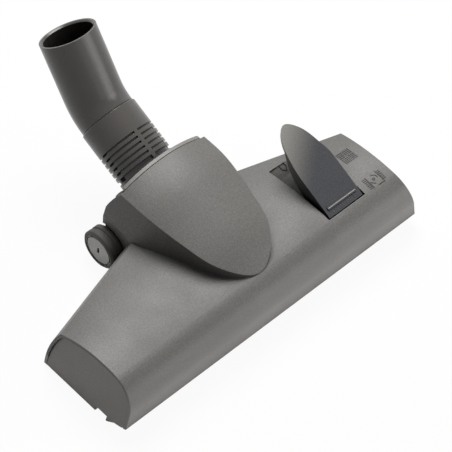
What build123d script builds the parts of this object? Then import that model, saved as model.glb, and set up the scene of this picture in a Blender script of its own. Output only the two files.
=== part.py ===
from build123d import *
import math
import os

# Floor head of a vacuum cleaner, in millimetres. X runs along the head, Y from the front wall
# towards the neck, Z up. The origin is on the floor, on the underside of the sole.

# Housing, outer form
HALF_LENGTH = 133.0
END_LEAN = 0.209
FRONT_Y = -47.8
CREST_Y = -18.0
CREST_Z = 42.5
FRONT_TOP_R = 95.0
ROLL_R = 20.0
WING_ROOT_X = 44.4
WING_ROOT_Y = 44.0
WING_ROOT_Z = 36.0
WING_TIP_X = 125.8
WING_TIP_Y = 21.0
WING_TIP_Z = 34.6
REAR_BELLY = (7.3, 15.7)
REAR_FOOT = (9.4, 34.6)
SHELL_WALL = 2.2
SPLIT_Z = 9.7
SEAM = 0.3
BASE_Z = 1.5

# Hood, half widths of its outline at given Y, at the foot and at the top
HOOD_STATIONS = (82.0, 63.0, 45.0, 25.0, 5.0, -10.0, -22.0)
HOOD_FOOT_HALF = (44.1, 44.3, 43.8, 38.8, 31.8, 26.0, 17.2)
HOOD_TOP_HALF = (36.7, 36.7, 36.4, 33.4, 29.8, 25.8, 17.0)
HOOD_TIP_Y = -30.8
HOOD_FOOT_Z = 38.0
HOOD_SKIRT = 12.0
HOOD_SIDE_X = 44.7
HOOD_TOP_Z = 64.0
CROWN_STATIONS = (-34.0, -22.0, -10.0, 8.0, 26.0, 45.0, 72.0)
CROWN_Z = (39.5, 49.0, 55.4, 61.2, 66.0, 70.2, 72.4)
CROWN_R = (150.0, 140.0, 125.0, 105.0, 95.0, 88.0, 85.0)
CROWN_HALF = 50.0
HOOD_LOFT_Z = 82.0
HOOD_REAR_Y = 63.2
CHEEK_Y = 16.95
CHEEK_Z = 28.63
CHEEK_R = 57.7
CHEEK_FOOT_Z = 4.0
CHEEK_FRONT_Y = 46.0
BODY_FOOT_Z = -4.0

# End panels
PANEL_LEAN = 0.285
PANEL_BACK = 5.2

# Base
BASE_FLOOR = 2.5
BASE_WALL = 1.8
BASE_UPSTAND = 16.0
RAMP = ((-50.0, 9.7), (-43.0, 6.3), (-37.3, 5.0), (-31.6, 1.5))
RAMP_FLOOR_Z = 8.6

# Suction slot, channel and duct
SLOT_HALF = 104.0
SLOT_FRONT_Y = -30.5
SLOT_REAR_Y = -20.5
CHANNEL_Z = 13.5
CHANNEL_WALL = 1.8
SIDE_NOTCH_Z = 4.8
DUCT_HALF = 31.0
DUCT_FLOOR_Z = 15.5
DUCT_ROOF_Z = 30.0
DUCT_REAR_Y = 17.6
DUCT_SEAT = 0.1
DUCT_LANDING = 8.0

# Sole plate and thread lifters
SOLE_HALF = 118.0
SOLE_FRONT_Y = -36.5
SOLE_REAR_Y = 9.0
SOLE_THICK = 1.4
LIFTER_HALF = 52.0
LIFTER_Y = (-18.0, -13.5)
LIFTER_RISE = 0.25
LIFTER_BED = 0.5
SOLE_GAP = 0.2

# Brush frame and bristles
FRONT_BRUSH_HALF = 111.0
FRONT_BRUSH_Y = -40.6
REAR_BRUSH_HALF = 106.0
REAR_BRUSH_Y = 14.0
CARRIER_WIDTH = 4.4
FRONT_CARRIER_Z = (9.4, 15.0)
REAR_CARRIER_Z = (6.0, 12.0)
BRISTLE_WIDTH = 2.0
BRISTLE_TIP_Z = 1.0
BRUSH_SLOT_GAP = 0.5
ARM_XS = (-92.0, -46.0, 46.0, 92.0)
ARM_WIDTH = 9.0
ARM_Z = (22.4, 24.8)
BRIDGE_Z = (19.6, 23.0)
BRIDGE_WEB = 1.8
GUIDE_XS = (-46.0, 46.0)
GUIDE_Y = -8.0
GUIDE_R = 2.2
GUIDE_TOP_Z = 34.0
BRIDGE_Y = (-16.5, -2.5)
BRISTLE_END = 1.0
RUNNING_FIT = 0.08

# Pedal and its well
PEDAL_X = 80.25
PEDAL_HALF = 15.3
PEDAL_FRONT = (-29.0, 41.6)
PEDAL_TIP = (32.8, 69.3)
PEDAL_TURN = 0.9
PEDAL_BOW = 0.9
PEDAL_PLATE = 2.2
PEDAL_STEP = 0.8
STEP_HALF = 12.8
STEP_Y = -25.2
STEP_WIDTH = 2.0
PEDAL_STATIONS = ((-2.0, 15.3), (10.0, 13.8), (20.0, 11.2), (28.0, 7.0))
PEDAL_PIVOT = (-21.0, 35.0)
PEDAL_BOSS_R = 4.6
PEDAL_PIN_R = 1.8
PEDAL_SKIRT = 1.8
PEDAL_BOSS_WIDTH = 3.2
SKIRT_FOOT = ((-28.6, 38.6), (-24.5, 32.0), (-15.0, 31.6), (-5.0, 40.4), (12.0, 52.2), (20.0, 62.0))
ARM_PIN = (-7.5, 26.0)
ARM_PIN_R = 1.6
ARM_PIN_REACH = 2.2
ARM_FRONT = ((-27.0, 41.0), (-24.5, 33.0))
ARM_HEEL = (-6.0, 50.0)
ARM_EYE = 2.4
ARM_EYE_TOP = 3.0
PEDAL_ARM_HALF = 2.2
WELL_HALF = 16.8
WELL_FRONT_Y = -29.9
WELL_REAR_Y = 19.0
WELL_WALL = 1.8
WELL_FLOOR = ((-29.9, 27.0), (-14.0, 27.0), (2.0, 31.0), (19.0, 34.6))
WELL_RAMP_Y = 27.0
YOKE_HALF = 5.6
YOKE_PLAY = 0.8
YOKE_TOP = 4.0
FORK_GAP = 0.6
PIN_PLAY = 0.45
PIN_END_PLAY = 1.0
PIN_TRAVEL = (7.4, 2.2)
WELL_SLOT_Y = (-21.4, 1.5)

# Neck
NECK_Y = 50.0
NECK_Z = 33.0
COLLAR_LEAN = 23.5
TUBE_LEAN = 54.2
DRUM_R = 25.5
DRUM_HALF = 31.4
DRUM_WALL = 2.0
DRUM_OPEN = (130.0, 282.0)
TRUNNION_R = 5.0
TRUNNION_REACH = 37.0
SPIGOT_R = 17.95
SPIGOT_BORE_R = 15.9
SPIGOT_END = 55.0
SEAL_FIT = (0.1, 0.2)
SPIGOT_STOP = 0.3
COLLAR_R = 21.2
COLLAR_START = 29.0
COLLAR_END = 72.95
COLLAR_BORE_R = 18.0
SLEEVE_R = 19.2
SLEEVE_START = 56.6
FIN_PITCH = 3.85
FIN_COUNT = 5
FIN_GROOVE = 1.5
FIN_GROOVE_DEPTH = 2.2
FIN_FIRST = 19.1
LAST_GROOVE = 2.9
SPINE_WIDTH = 2.7
SPINE_COUNT = 4
COLLAR_RIM = 0.5
JOINT_LINE = 0.4
TUBE_R = 20.2
TUBE_BORE_R = 17.65
TUBE_THROAT_R = 16.8
SOCKET_DEPTH = 40.0
TUBE_BEND_R = 36.0
BEND_OFFSET = 11.07
TUBE_REACH = 54.1
MOUTH_CHAMFER = 1.1
RING_SPOT = 60.5
RING_WIDTH = 2.0
RING_R = (18.4, 19.95)
RING_SEAT_R = 18.1
RING_SPLIT = 3.0

# Inner joint housing
JOINT_HALF = 33.4
JOINT_WALL = 1.6
JOINT_FRONT_Y = 18.0
JOINT_OVERHANG = 1.2
JOINT_BOSS_R = 8.0
JOINT_BOSS_X = 37.4
JOINT_GAP = 0.35
LIP_HALF = 33.1
LIP_GAP = 0.5
LIP_END_Y = 66.2
LIP_DROP = 0.15
LIP_DEPTH = 5.0
LIP_FOOT_Z = 56.0
LIP_CORNER_R = 1.2
ROOF_RIB_HALF = 2.0
ROOF_RIB_GAP = 1.5
DRUM_SEAL_GAP = 0.3
REAR_SEAL_ANGLE = -60.0
REAR_SEAL_ROOM = 1.4
REAR_SEAL_TRIM = 0.05
REAR_SEAL_SIZE = 3.0
SILL_TAIL = 1.0
SILL_DEPTH = 6.0
SILL_TOP_Z = 14.0

# Wheels
WHEEL_Y = 65.4
WHEEL_R = 14.5
WHEEL_INNER_X = 42.6
WHEEL_WIDTH = 11.3
WHEEL_ROOM = 0.6
ARCH_R = 17.2
ARCH_FLOOR_X = 41.6
ARCH_WALL = 1.8
HUB_R = 11.3
HUB_RING = 0.8
HUB_RECESS = 1.2
HUB_SINK = 0.4
HUB_SLOT_HALF = (0.9, 2.6)
HUB_SLOT_DEPTH = 2.3
HUB_WALL = 3.0
TYRE_GROOVE = 0.9
TYRE_GROOVE_HALF = (0.6, 1.2)
TYRE_ROUND = 1.2
TYRE_FACE_ROUND = 1.4
AXLE_R = 2.5
AXLE_INNER_X = 37.0
AXLE_BOSS_R = 4.6
AXLE_END_GAP = 0.2

# Screws
SCREW_SPOTS = ((-114.0, 21.5), (-64.0, 27.5), (-62.0, 4.5), (114.0, 21.5), (64.0, 27.5), (62.0, 4.5))
SCREW_R = 1.5
SCREW_HEAD_R = 3.0
SCREW_HEAD = 2.0
SCREW_SINK = 0.4
SCREW_END_Z = 24.0
POST_R = 3.6
POST_SEAM_Z = 15.0

FAR = 200.0


def block(x0, x1, y0, y1, z0, z1):
    """A box between two corners."""
    return Pos((x0 + x1) / 2, (y0 + y1) / 2, (z0 + z1) / 2) * Box(x1 - x0, y1 - y0, z1 - z0)


def rod(centre, direction, radius, length):
    """A cylinder that starts at a centre and runs along a direction."""
    return Plane(origin=centre, z_dir=direction) * Cylinder(
        radius, length, align=(Align.CENTER, Align.CENTER, Align.MIN)
    )


def across(y, z, radius, x0, x1):
    """A cylinder along X between two X values."""
    return rod((x0, y, z), (1, 0, 0), radius, x1 - x0)


def side_prism(points, x0, x1):
    """A prism along X over a polygon of (y, z) points."""
    wire = Polyline(*[(x0, y, z) for y, z in points], close=True)
    return extrude(make_face(wire), amount=x1 - x0, dir=(1, 0, 0))


def mirrored(shape):
    return mirror(shape, about=Plane.YZ)


def circle_through(a, b, c):
    """Centre and radius of the circle through three (y, z) points."""
    d = 2 * (a[0] * (b[1] - c[1]) + b[0] * (c[1] - a[1]) + c[0] * (a[1] - b[1]))
    sa, sb, sc = (p[0] ** 2 + p[1] ** 2 for p in (a, b, c))
    y = (sa * (b[1] - c[1]) + sb * (c[1] - a[1]) + sc * (a[1] - b[1])) / d
    z = (sa * (c[0] - b[0]) + sb * (a[0] - c[0]) + sc * (b[0] - a[0])) / d
    return (y, z), math.hypot(a[0] - y, a[1] - z)


def rear_crossing(c1, r1, c2, r2):
    """The rearmost of the two points where two circles cross."""
    dy, dz = c2[0] - c1[0], c2[1] - c1[1]
    d = math.hypot(dy, dz)
    a = (r1 * r1 - r2 * r2 + d * d) / (2 * d)
    h = math.sqrt(r1 * r1 - a * a)
    m = (c1[0] + a * dy / d, c1[1] + a * dz / d)
    return max(
        (m[0] - h * dz / d, m[1] + h * dy / d), (m[0] + h * dz / d, m[1] - h * dy / d), key=lambda p: p[0]
    )


def arc_at(x, centre, radius, p, q):
    """The arc from p to q about a centre, the short way, in the plane at x."""
    a = math.atan2(p[1] - centre[1], p[0] - centre[0])
    b = math.atan2(q[1] - centre[1], q[0] - centre[0])
    mid = (a + b) / 2
    m = (centre[0] + radius * math.cos(mid), centre[1] + radius * math.sin(mid))
    return ThreePointArc((x, *p), (x, *m), (x, *q))


def crest_circle(x):
    """Radius and centre of the circle from the crest line to the rear edge at x."""
    edge = rear_edge(x)
    dy, dz = edge[0] - CREST_Y, CREST_Z - edge[1]
    r = (dy * dy + dz * dz) / (2 * dz)
    return r, (CREST_Y, CREST_Z - r)


def rear_edge(x):
    """Rear top edge of a wing, at a distance x from the middle."""
    t = (abs(x) - WING_ROOT_X) / (WING_TIP_X - WING_ROOT_X)
    return (
        WING_ROOT_Y + t * (WING_TIP_Y - WING_ROOT_Y),
        WING_ROOT_Z + t * (WING_TIP_Z - WING_ROOT_Z),
    )


def front_form(inset, floor_z):
    """The housing in front of its crest line: front wall, roll-over and top."""
    top_c = (CREST_Y, CREST_Z - FRONT_TOP_R)
    roll_y = FRONT_Y + ROLL_R
    roll_c = (roll_y, top_c[1] + math.sqrt((FRONT_TOP_R - ROLL_R) ** 2 - (CREST_Y - roll_y) ** 2))
    share = (FRONT_TOP_R - inset) / (FRONT_TOP_R - ROLL_R)
    start = (
        top_c[0] + (roll_c[0] - top_c[0]) * share,
        top_c[1] + (roll_c[1] - top_c[1]) * share,
    )
    x, wall_y = -FAR, FRONT_Y + inset
    crest = (CREST_Y, CREST_Z - inset)
    edges = [
        arc_at(x, top_c, FRONT_TOP_R - inset, crest, start),
        arc_at(x, roll_c, ROLL_R - inset, start, (wall_y, roll_c[1])),
        Line((x, wall_y, roll_c[1]), (x, wall_y, floor_z)),
        Line((x, wall_y, floor_z), (x, CREST_Y, floor_z)),
        Line((x, CREST_Y, floor_z), (x, *crest)),
    ]
    return extrude(Face(Wire(edges)), amount=2 * FAR, dir=(1, 0, 0))


def rear_section(x, inset, floor_z):
    """Section of the housing behind its crest line: falling top and bellied rear wall."""
    edge = rear_edge(x)
    top_r, top_c = crest_circle(x)
    belly = (edge[0] + REAR_BELLY[0], edge[1] - REAR_BELLY[1])
    foot = (edge[0] + REAR_FOOT[0], edge[1] - REAR_FOOT[1])
    rear_c, rear_r = circle_through(edge, belly, foot)
    rear_in = rear_r - inset
    ridge = rear_crossing(top_c, top_r - inset, rear_c, rear_in)
    low = (rear_c[0] + math.sqrt(rear_in**2 - (floor_z - rear_c[1]) ** 2), floor_z)
    crest = (CREST_Y, CREST_Z - inset)
    edges = [
        arc_at(x, rear_c, rear_in, low, ridge),
        arc_at(x, top_c, top_r - inset, ridge, crest),
        Line((x, *crest), (x, CREST_Y, floor_z)),
        Line((x, CREST_Y, floor_z), (x, *low)),
    ]
    return Face(Wire(edges))


def wing_form(inset, floor_z=BODY_FOOT_Z):
    """The long body of the housing: front prism and three lengths behind the crest line."""
    end_x = HALF_LENGTH + 3.0
    stops = (-end_x, -WING_ROOT_X, WING_ROOT_X, end_x)
    sections = [rear_section(x, inset, floor_z) for x in stops]
    body = front_form(inset, floor_z) & block(-end_x, end_x, -FAR, FAR, floor_z, FAR)
    for first, second in zip(sections, sections[1:]):
        body += loft([first, second], ruled=True)
    return body


def between_ends(inset, lean=END_LEAN):
    """Everything between the two leaning end faces, moved inward by inset."""
    foot, head = HALF_LENGTH - inset, HALF_LENGTH - inset - lean * 100
    drop = 10 * lean
    outline = Polyline(
        (-foot - drop, -FAR, -10), (foot + drop, -FAR, -10), (head, -FAR, 100), (-head, -FAR, 100), close=True
    )
    return extrude(make_face(outline), amount=2 * FAR, dir=(0, 1, 0))


def hood_outline(z, inset):
    """Tongue-shaped outline of the hood at a height, open to the rear."""
    t = (z - HOOD_FOOT_Z) / (HOOD_TOP_Z - HOOD_FOOT_Z)
    halves = [f + t * (h - f) - inset for f, h in zip(HOOD_FOOT_HALF, HOOD_TOP_HALF)]
    left = [(-h, y, z) for h, y in zip(halves, HOOD_STATIONS)]
    right = [(h, y, z) for h, y in zip(halves, HOOD_STATIONS)]
    tip = (0, HOOD_TIP_Y + inset, z)
    side = Spline(*left, tip, *reversed(right))
    return Face(Wire([side, Line(right[0], left[0])]))


def crown_section(y, z, radius, inset):
    """Section under the crowned top of the hood at y."""
    r, top = radius - inset, z - inset
    side_z = top - r + math.sqrt(r * r - CROWN_HALF**2)
    edges = [
        ThreePointArc((-CROWN_HALF, y, side_z), (0, y, top), (CROWN_HALF, y, side_z)),
        Line((CROWN_HALF, y, side_z), (CROWN_HALF, y, -10)),
        Line((CROWN_HALF, y, -10), (-CROWN_HALF, y, -10)),
        Line((-CROWN_HALF, y, -10), (-CROWN_HALF, y, side_z)),
    ]
    return Face(Wire(edges))


def under_crown(inset):
    return loft([crown_section(y, z, r, inset) for y, z, r in zip(CROWN_STATIONS, CROWN_Z, CROWN_R)])


def hood_form(inset):
    """The hood over the neck, with straight cheeks below the level of the wings."""
    upper = loft([hood_outline(HOOD_FOOT_Z, inset), hood_outline(HOOD_LOFT_Z, inset)], ruled=True)
    middle = extrude(hood_outline(HOOD_FOOT_Z, inset), amount=HOOD_SKIRT, dir=(0, 0, -1))
    cheeks = extrude(hood_outline(HOOD_FOOT_Z, inset), amount=HOOD_FOOT_Z - BODY_FOOT_Z, dir=(0, 0, -1))
    cheeks &= block(-FAR, FAR, CHEEK_FRONT_Y, FAR, BODY_FOOT_Z, HOOD_FOOT_Z)
    return (upper + middle + cheeks) & under_crown(inset)


def rear_profile(radius, rear_y, foot_z):
    """Everything in front of the round rear edge of the cheeks and the straight edge above it."""
    corner_z = CHEEK_Z + math.sqrt(radius**2 - (rear_y - CHEEK_Y) ** 2)
    foot_y = CHEEK_Y + math.sqrt(radius**2 - (CHEEK_Z - foot_z) ** 2)
    x = -FAR / 2
    edges = [
        Line((x, -60, foot_z), (x, foot_y, foot_z)),
        ThreePointArc((x, foot_y, foot_z), (x, CHEEK_Y + radius, CHEEK_Z), (x, rear_y, corner_z)),
        Line((x, rear_y, corner_z), (x, rear_y, 95)),
        Line((x, rear_y, 95), (x, -60, 95)),
        Line((x, -60, 95), (x, -60, foot_z)),
    ]
    return extrude(Face(Wire(edges)), amount=FAR, dir=(1, 0, 0))


def top_z(x, y):
    """Height of the outer top surface of a wing."""
    r, centre = crest_circle(x)
    return centre[1] + math.sqrt(r * r - (y - CREST_Y) ** 2)


def well_form(grow):
    """The pedal's well as a solid, grown by a wall on its sides and below."""
    floor = [(y, z - grow) for y, z in WELL_FLOOR]
    front, rear = WELL_FRONT_Y - grow, WELL_RAMP_Y + grow
    lip = top_z(PEDAL_X, WELL_RAMP_Y)
    outline = [(front, floor[0][1])] + floor[1:] + [(rear, lip), (rear, 60), (front, 60)]
    half = WELL_HALF + grow
    return side_prism(outline, PEDAL_X - half, PEDAL_X + half)


def wheel_room():
    """Space of a wheel: a round arch in the cheek and running room beside it."""
    arch = across(WHEEL_Y, WHEEL_R, ARCH_R, ARCH_FLOOR_X, HOOD_SIDE_X)
    return arch + across(WHEEL_Y, WHEEL_R, WHEEL_R + WHEEL_ROOM, ARCH_FLOOR_X, ARCH_FLOOR_X + 2 * WHEEL_WIDTH)


def wheel_cup(grow):
    """Solid that closes the wheel's arch towards the inside, grown by a clearance."""
    start, end = ARCH_FLOOR_X - ARCH_WALL - grow, HOOD_SIDE_X + grow
    return across(WHEEL_Y, WHEEL_R, ARCH_R + ARCH_WALL + grow, start, end)


def top_housing():
    """Upper moulding: long cover, hood with its cheeks, pedal well, screw posts and axle bosses."""
    ends = between_ends(0)
    cover = wing_form(0) & ends & block(-FAR, FAR, -FAR, FAR, SPLIT_Z, 100)
    hood = hood_form(0) & rear_profile(CHEEK_R, HOOD_REAR_Y, CHEEK_FOOT_Z)
    low_step = block(-FAR, FAR, -FAR, WING_ROOT_Y + REAR_FOOT[0] + 0.8, -10, SPLIT_Z)
    inside = wing_form(SHELL_WALL) + hood_form(SHELL_WALL)
    shell = cover + (hood - low_step) - inside
    room = wing_form(SHELL_WALL / 2)
    for x, y in SCREW_SPOTS:
        shell += rod((x, y, POST_SEAM_Z), (0, 0, 1), POST_R, 60) & room
    well = (well_form(WELL_WALL) & room) - well_form(0)
    shell = shell + well - well_form(0)
    slot = block(PEDAL_X - YOKE_HALF, PEDAL_X + YOKE_HALF, *WELL_SLOT_Y, 20, 33)
    pin = across(*PEDAL_PIVOT, PEDAL_PIN_R + RUNNING_FIT, PEDAL_X - FAR, PEDAL_X + FAR)
    pin &= block(PEDAL_X - WELL_HALF - 2 * WELL_WALL, PEDAL_X + WELL_HALF + 2 * WELL_WALL, -40, 0, 0, 60)
    shell = shell - slot - pin
    for x, y in SCREW_SPOTS:
        shell -= rod((x, y, 0), (0, 0, 1), SCREW_R, SCREW_END_Z + 1)
    cup = wheel_cup(0) & (hood_form(SHELL_WALL / 2) + room) & rear_profile(CHEEK_R, HOOD_REAR_Y, CHEEK_FOOT_Z)
    cup = cup - low_step - wheel_room()
    boss = across(WHEEL_Y, WHEEL_R, AXLE_BOSS_R, AXLE_INNER_X, ARCH_FLOOR_X)
    shell = shell - wheel_room() - mirrored(wheel_room())
    shell = shell + (cup + boss) + mirrored(cup + boss)
    axle = across(WHEEL_Y, WHEEL_R, AXLE_R, 0, FAR)
    return shell - axle - mirrored(axle)


def base_housing():
    """Lower tray: floor, skirt, end panels, suction channel, duct and the drum's rear lip."""
    ends = between_ends(0)
    seat = SHELL_WALL + SEAM
    skirt = wing_form(0) & ends & block(-FAR, FAR, -FAR, FAR, BASE_Z, SPLIT_Z - SEAM)
    skirt -= wing_form(SHELL_WALL) & (between_ends(-5) - between_ends(0, PANEL_LEAN))
    upstand = wing_form(seat) & between_ends(PANEL_BACK) & block(-FAR, FAR, -FAR, FAR, BASE_Z, BASE_UPSTAND)
    cavity = wing_form(seat + BASE_WALL) & between_ends(PANEL_BACK) & block(
        -FAR, FAR, -FAR, FAR, BASE_Z + BASE_FLOOR, 60
    )
    ledge = block(-FAR, FAR, -60, RAMP[2][0] + 1.0, 0, RAMP_FLOOR_Z)
    tray = skirt + upstand - (cavity - ledge)
    panels = wing_form(seat) & between_ends(0, PANEL_LEAN) & block(-FAR, FAR, -FAR, FAR, BASE_Z, 60)
    tray += panels - between_ends(PANEL_BACK)
    front, rear = SLOT_FRONT_Y - CHANNEL_WALL, SLOT_REAR_Y + CHANNEL_WALL
    end_x = SLOT_HALF + CHANNEL_WALL + SEAM
    inside = between_ends(0, PANEL_LEAN) & wing_form(seat)
    for x0, x1 in ((-FAR, -end_x), (end_x, FAR)):
        tray += block(x0, x1, front, rear, BASE_Z, SIDE_NOTCH_Z + CHANNEL_WALL) & inside
    tray -= block(-FAR, FAR, SLOT_FRONT_Y, SLOT_REAR_Y, -5, SIDE_NOTCH_Z)
    tray -= side_prism([*RAMP, (RAMP[-1][0], -5), (RAMP[0][0], -5)], -FAR, FAR)
    for half, y in ((FRONT_BRUSH_HALF, FRONT_BRUSH_Y), (REAR_BRUSH_HALF, REAR_BRUSH_Y)):
        reach, width = half + BRUSH_SLOT_GAP, CARRIER_WIDTH / 2 + BRUSH_SLOT_GAP
        tray -= block(-reach, reach, y - width, y + width, -5, CHANNEL_Z)
    for x, y in SCREW_SPOTS:
        tray += rod((x, y, BASE_Z), (0, 0, 1), POST_R, POST_SEAM_Z - BASE_Z)
        tray -= rod((x, y, -5), (0, 0, 1), SCREW_R + SEAM, 30)
        tray -= rod((x, y, -5), (0, 0, 1), SCREW_HEAD_R + SCREW_SINK, 5 + BASE_Z + SCREW_HEAD + SCREW_SINK)
    for x in GUIDE_XS:
        tray += rod((x, GUIDE_Y, BASE_Z), (0, 0, 1), GUIDE_R, GUIDE_TOP_Z - BASE_Z)
    cheek_in = HOOD_FOOT_HALF[0] - SHELL_WALL - SEAM
    landing_y = DUCT_REAR_Y + DUCT_LANDING
    tray -= block(-cheek_in - SEAM, cheek_in + SEAM, landing_y, 90, BASE_Z + BASE_FLOOR, 60)
    seal_r = DRUM_R + REAR_SEAL_ROOM
    tail_y = NECK_Y + (seal_r + SILL_TAIL) * math.cos(math.radians(REAR_SEAL_ANGLE))
    tray += block(-cheek_in, cheek_in, landing_y, tail_y, BASE_Z, BASE_Z + BASE_FLOOR)
    sill_x = JOINT_HALF - JOINT_WALL - SEAM
    tray += block(-sill_x, sill_x, tail_y - SILL_DEPTH, tail_y, BASE_Z, SILL_TOP_Z)
    tray -= across(NECK_Y, NECK_Z, seal_r, -sill_x - 1, sill_x + 1)
    high = block(-FAR, FAR, -FAR, FAR, SPLIT_Z - SEAM, 60)
    for cut in (wheel_room(), wheel_cup(SEAM) & high):
        tray = tray - cut - mirrored(cut)
    return tray


def suction_duct():
    """Channel over the suction slot, with the duct that rises from its middle towards the neck."""
    front, rear = SLOT_FRONT_Y - CHANNEL_WALL, SLOT_REAR_Y + CHANNEL_WALL
    outer, duct_out = SLOT_HALF + CHANNEL_WALL, DUCT_HALF + CHANNEL_WALL
    seat_z = BASE_Z + BASE_FLOOR + DUCT_SEAT
    shell = block(-outer, outer, front, rear, seat_z, CHANNEL_Z + CHANNEL_WALL)
    shell += block(
        -duct_out, duct_out, front, DUCT_REAR_Y, DUCT_FLOOR_Z - CHANNEL_WALL, DUCT_ROOF_Z + CHANNEL_WALL
    )
    shell -= block(-SLOT_HALF, SLOT_HALF, SLOT_FRONT_Y, SLOT_REAR_Y, 0, CHANNEL_Z)
    shell -= block(-FAR, FAR, SLOT_FRONT_Y, SLOT_REAR_Y, 0, SIDE_NOTCH_Z)
    shell -= block(-DUCT_HALF, DUCT_HALF, SLOT_FRONT_Y, SLOT_REAR_Y, 0, DUCT_ROOF_Z)
    shell -= block(-DUCT_HALF, DUCT_HALF, SLOT_REAR_Y - 1, DUCT_REAR_Y + 1, DUCT_FLOOR_Z, DUCT_ROOF_Z)
    return shell


def joint_housing():
    """Inner frame under the hood that carries the neck's drum, with a lip beyond the hood's edge."""
    seat = SHELL_WALL + JOINT_GAP
    foot_z = BASE_Z + BASE_FLOOR
    inner_half = JOINT_HALF - JOINT_WALL
    span = (-JOINT_HALF, JOINT_HALF, JOINT_FRONT_Y, 90)
    upper = hood_form(seat) & block(*span, HOOD_FOOT_Z - 4, 95)
    lower = block(*span, foot_z, HOOD_FOOT_Z)
    outer = (upper + lower) & rear_profile(CHEEK_R + JOINT_OVERHANG, HOOD_REAR_Y + LIP_GAP, foot_z)
    lip = block(-LIP_HALF, LIP_HALF, HOOD_REAR_Y + LIP_GAP, LIP_END_Y, LIP_FOOT_Z, 95)
    corners = lip.edges().filter_by(Axis.Z).group_by(Axis.Y)[-1]
    outer += fillet(corners, LIP_CORNER_R) & (hood_form(LIP_DROP) - hood_form(LIP_DEPTH))
    room = (-inner_half, inner_half, 10)
    hollow = hood_form(seat + JOINT_WALL) & block(*room, LIP_END_Y - JOINT_WALL, 30, 95)
    hollow += hood_form(LIP_DEPTH) & block(*room, 90, 30, 95)
    hollow += block(*room, 90, foot_z - 1, HOOD_FOOT_Z)
    shell = outer - hollow
    boss = across(NECK_Y, NECK_Z, JOINT_BOSS_R, inner_half, JOINT_BOSS_X)
    shell = shell + boss + mirrored(boss)
    rib_y = (NECK_Y - ROOF_RIB_HALF, NECK_Y + ROOF_RIB_HALF)
    rib = under_crown(seat) & block(-inner_half, inner_half, *rib_y, NECK_Z + DRUM_R + ROOF_RIB_GAP, 95)
    return shell + rib - across(NECK_Y, NECK_Z, TRUNNION_R + RUNNING_FIT, -FAR, FAR)


def neck_point(reach):
    """The point of the collar's axis at a distance from the neck's tilt axis."""
    lean = math.radians(COLLAR_LEAN)
    return (0, NECK_Y + reach * math.cos(lean), NECK_Z + reach * math.sin(lean))


def neck_direction():
    lean = math.radians(COLLAR_LEAN)
    return (0, math.cos(lean), math.sin(lean))


def neck_rod(start, end, radius):
    return rod(neck_point(start), neck_direction(), radius, end - start)


def drum_sector(radius, half, first, last):
    """A pie slice about the tilt axis, from one angle to another."""
    reach = 2 * radius
    steps = 4
    angles = [math.radians(first + (last - first) * i / steps) for i in range(steps + 1)]
    points = [(NECK_Y, NECK_Z)]
    points += [(NECK_Y + reach * math.cos(a), NECK_Z + reach * math.sin(a)) for a in angles]
    return side_prism(points, -half, half)


def swivel_elbow():
    """Drum on two trunnions with the round spigot that carries the collar."""
    drum = across(NECK_Y, NECK_Z, DRUM_R, -DRUM_HALF, DRUM_HALF)
    inner = DRUM_HALF - DRUM_WALL
    hollow = across(NECK_Y, NECK_Z, DRUM_R - DRUM_WALL, -inner, inner)
    spigot = neck_rod(DRUM_R - 6, SPIGOT_END, SPIGOT_R)
    bore = neck_rod(DRUM_R - 12, SPIGOT_END + 1, SPIGOT_BORE_R)
    pins = across(NECK_Y, NECK_Z, TRUNNION_R, -TRUNNION_REACH, TRUNNION_REACH)
    pins -= across(NECK_Y, NECK_Z, TRUNNION_R, -inner, inner)
    opening = drum_sector(DRUM_R, inner, *DRUM_OPEN)
    return drum + spigot - hollow - bore - opening + pins


def ribbed_collar():
    """Sleeve with ring grooves between four spines, and a deep groove above its bottom flange."""
    sleeve = neck_rod(COLLAR_START, COLLAR_END, COLLAR_R)
    sleeve -= neck_rod(COLLAR_START - 1, SPIGOT_END + SPIGOT_STOP, COLLAR_BORE_R)
    sleeve -= neck_rod(SPIGOT_END, COLLAR_END + 1, SLEEVE_R + RUNNING_FIT)
    ring_slot = RING_SPOT - RUNNING_FIT, RING_SPOT + RING_WIDTH + RUNNING_FIT
    sleeve -= neck_rod(*ring_slot, RING_R[1] + RUNNING_FIT)
    spots = [COLLAR_END - FIN_FIRST - i * FIN_PITCH - FIN_GROOVE for i in range(FIN_COUNT)]
    cuts = [(spot, spot + FIN_GROOVE) for spot in spots]
    last = spots[-1] - FIN_PITCH + FIN_GROOVE - LAST_GROOVE
    cuts.append((last, last + LAST_GROOVE))
    plane = Plane(origin=neck_point(0), z_dir=neck_direction())
    spines = [
        Rot(0, 0, i * 360 / SPINE_COUNT) * Pos(COLLAR_R, 0, 0) * Box(12, SPINE_WIDTH, 200)
        for i in range(SPINE_COUNT)
    ]
    keep = plane * Compound(children=spines)
    for start, end in cuts:
        groove = neck_rod(start, end, COLLAR_R + 2) - neck_rod(start, end, COLLAR_R - FIN_GROOVE_DEPTH)
        sleeve -= groove - keep
    edges = sleeve.edges().filter_by(GeomType.CIRCLE).group_by(Axis(neck_point(0), neck_direction()))[-1]
    rim = edges.filter_by(lambda e: abs(e.radius - COLLAR_R) < 0.01)
    return chamfer(rim, COLLAR_RIM)


def tube_path(start):
    """Axis of the bent tube, from a point of the collar's axis to the mouth."""
    corner = Vector(*neck_point(COLLAR_END + BEND_OFFSET))
    lean = math.radians(TUBE_LEAN)
    mouth = corner + Vector(0, math.cos(lean), math.sin(lean)) * TUBE_REACH
    return FilletPolyline(neck_point(start), corner, mouth, radius=TUBE_BEND_R)


def tube_run(start, radius):
    path = tube_path(start)
    return sweep(Plane(origin=path @ 0, z_dir=path % 0) * Circle(radius), path=path)


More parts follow.
